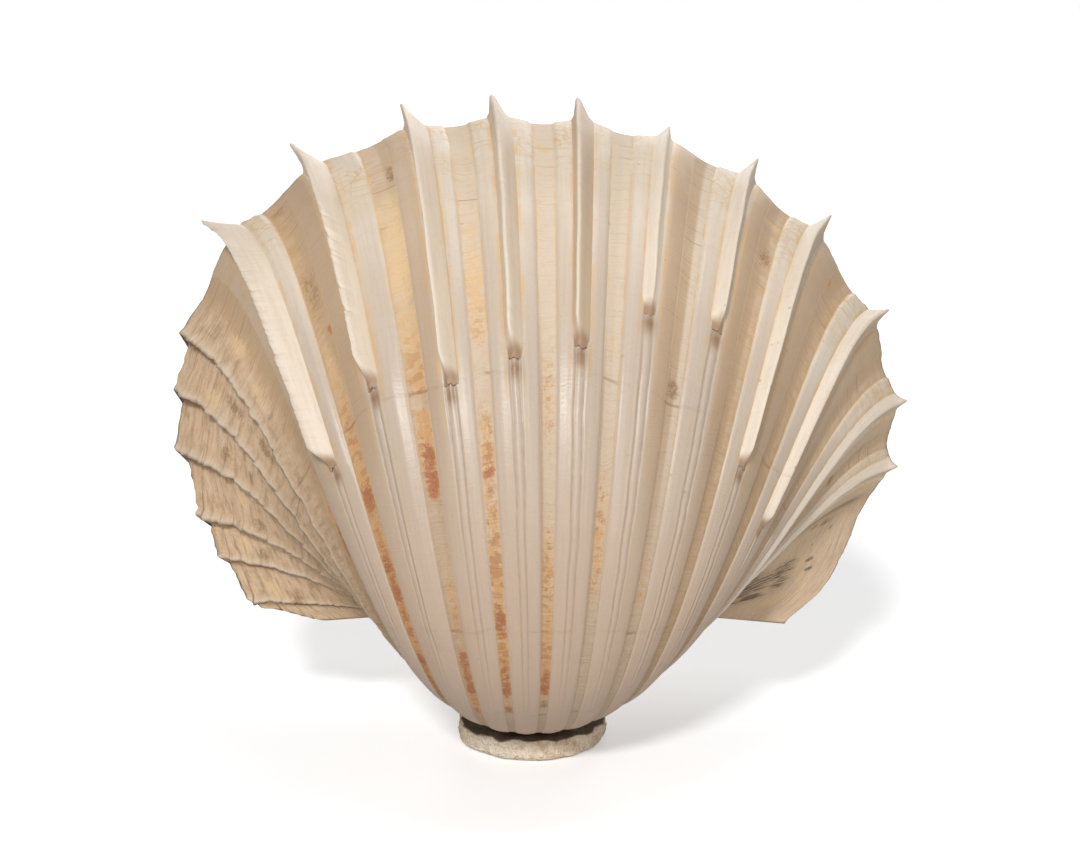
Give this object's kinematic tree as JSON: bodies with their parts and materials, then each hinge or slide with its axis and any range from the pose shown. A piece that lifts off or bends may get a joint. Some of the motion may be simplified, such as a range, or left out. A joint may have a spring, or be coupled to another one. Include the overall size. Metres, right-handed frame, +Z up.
{
  "type": "heart cockle shell",
  "caption": "Tall ribbed cockle valve with thin raised keels, hollow behind, standing beak down on a small rough stone disc.",
  "frame": {"origin": "middle of the foot's flat underside, where the part stands", "axes": "+Z up, +X to the right seen from the ribbed side, the ribbed side faces -Y and the hollow side faces +Y"},
  "size_m": [0.104, 0.0652, 0.0856],
  "materials": {
    "shell": "cream shell with tan and orange growth bands between the ribs, satin to glossy on the ribs",
    "stone": "pale rough stone, matt"
  },
  "bodies": {
    "root": {"valve": "shell", "foot": "stone"}
  },
  "joints": []
}
